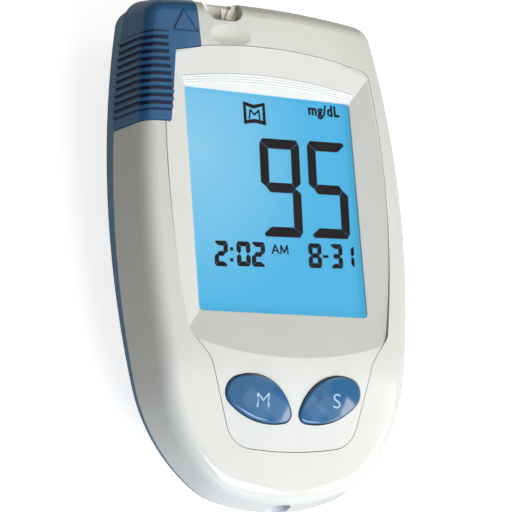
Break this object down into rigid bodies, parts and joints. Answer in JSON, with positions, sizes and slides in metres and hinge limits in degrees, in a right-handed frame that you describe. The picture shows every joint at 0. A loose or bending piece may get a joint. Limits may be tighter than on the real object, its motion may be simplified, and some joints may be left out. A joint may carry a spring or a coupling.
{
  "type": "blood glucose meter",
  "caption": "Hand-held blood glucose meter with a sloped display well, two leaf-shaped keys, a strip port with an ejector slider, a battery door and a data jack.",
  "frame": {"origin": "on the flat of the back, on the centre line, 48 mm from the lower end", "axes": "+X to the right of the display, +Y towards the strip port, +Z out of the display"},
  "size_m": [0.0606, 0.0971, 0.0251],
  "materials": {
    "body_white": "satin",
    "plate_white": "satin",
    "back_grey": "fine matte",
    "window_clear": "polished clear plastic",
    "lcd_blue": "display film",
    "diffuser": "frosted",
    "elastomer": "matte",
    "frame_white": "matte",
    "button_blue": "polished",
    "silicone": "matte",
    "board_green": "solder mask",
    "chip_black": "moulded",
    "screw_steel": "zinc plated",
    "connector_black": "moulded",
    "contact_gold": "gold plated",
    "guide_clear": "translucent",
    "slider_blue": "satin",
    "arm_black": "moulded",
    "cell_wrap": "printed sleeve",
    "spring_steel": "nickel plated",
    "contact_nickel": "nickel plated",
    "speaker_metal": "satin",
    "jack_black": "moulded"
  },
  "bodies": {
    "meter": {"front_cover": "body_white", "face_plate": "plate_white", "rear_cover": "back_grey", "display_window": "window_clear", "lcd_glass": "lcd_blue", "backlight_panel": "diffuser", "lcd_connector": "elastomer", "lcd_frame": "frame_white", "set_dome": "silicone", "memory_dome": "silicone", "main_board": "board_green", "board_chips": "chip_black", "board_screws": "screw_steel", "strip_connector": "connector_black", "strip_contacts": "contact_gold", "strip_guide": "guide_clear", "battery_left": "cell_wrap", "battery_right": "cell_wrap", "battery_springs": "spring_steel", "battery_contacts": "contact_nickel", "battery_link": "contact_nickel", "speaker": "speaker_metal", "data_jack": "jack_black", "case_screws": "screw_steel"},
    "ejector": {"ejector_slider": "slider_blue", "ejector_arm": "arm_black"},
    "set_key": {"set_button": "button_blue"},
    "memory_key": {"memory_button": "button_blue"},
    "door": {"battery_door": "back_grey"}
  },
  "joints": [
    {"name": "ejector_slide", "type": "slide", "parent": "meter", "child": "ejector", "axis": [0, 0.9996, 0.0288], "range_m": [0, 0.004]},
    {"name": "set_press", "type": "slide", "parent": "meter", "child": "set_key", "axis": [0, 0, -1], "range_m": [0, 0.0008], "stiffness_N_per_m": 2000, "deforming": ["set_dome"]},
    {"name": "memory_press", "type": "slide", "parent": "meter", "child": "memory_key", "axis": [0, 0, -1], "range_m": [0, 0.0008], "stiffness_N_per_m": 2000, "deforming": ["memory_dome"]},
    {"name": "battery_door_hinge", "type": "hinge", "parent": "meter", "child": "door", "pos_m": [0, -0.0133, 0], "axis": [-1, 0, 0], "range_deg": [0, 70]}
  ]
}
